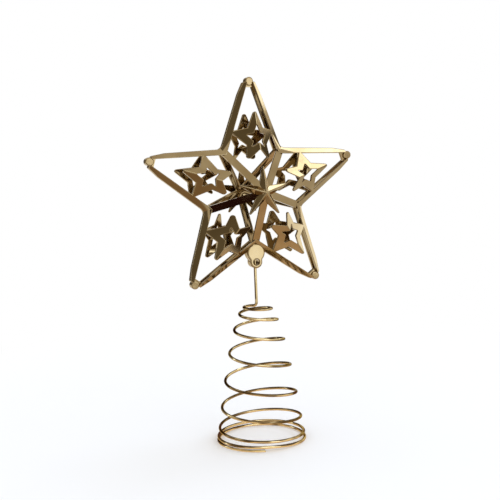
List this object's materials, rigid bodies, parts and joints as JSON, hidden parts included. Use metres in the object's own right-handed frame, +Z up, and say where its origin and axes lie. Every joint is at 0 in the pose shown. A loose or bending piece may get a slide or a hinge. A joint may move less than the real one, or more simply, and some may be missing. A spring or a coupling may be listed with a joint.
{
  "type": "christmas tree topper",
  "caption": "Hollow openwork star of plated half shells on a wire stem, with a conical coil spring below that slips over a tree's top shoot and springs back when pressed.",
  "frame": {"origin": "on the spring's axis, in the plane that the spring's foot stands on", "axes": "+Z up along the spring's axis and the stem, -Y out of the star's front, +X to the right seen from the front"},
  "size_m": [0.1496, 0.0632, 0.2531],
  "materials": {
    "plated_star": "gold electroplated, mirror bright",
    "plated_wire": "gold plated, bright"
  },
  "bodies": {
    "base": {"spring_coil": "plated_wire"},
    "stem": {"stem_wire": "plated_wire"},
    "star": {"front_half_shell": "plated_star", "rear_half_shell": "plated_star"}
  },
  "joints": [
    {"name": "spring_press", "type": "slide", "parent": "base", "child": "stem", "axis": [0, 0, 1], "range_m": [-0.05, 0.015], "stiffness_N_per_m": 224, "springref_m": 0.0012, "deforming": ["spring_coil"]},
    {"name": "star_swivel", "type": "hinge", "parent": "stem", "child": "star", "pos_m": [0, 0, 0.1217], "axis": [0, 0, 1], "continuous": true}
  ]
}
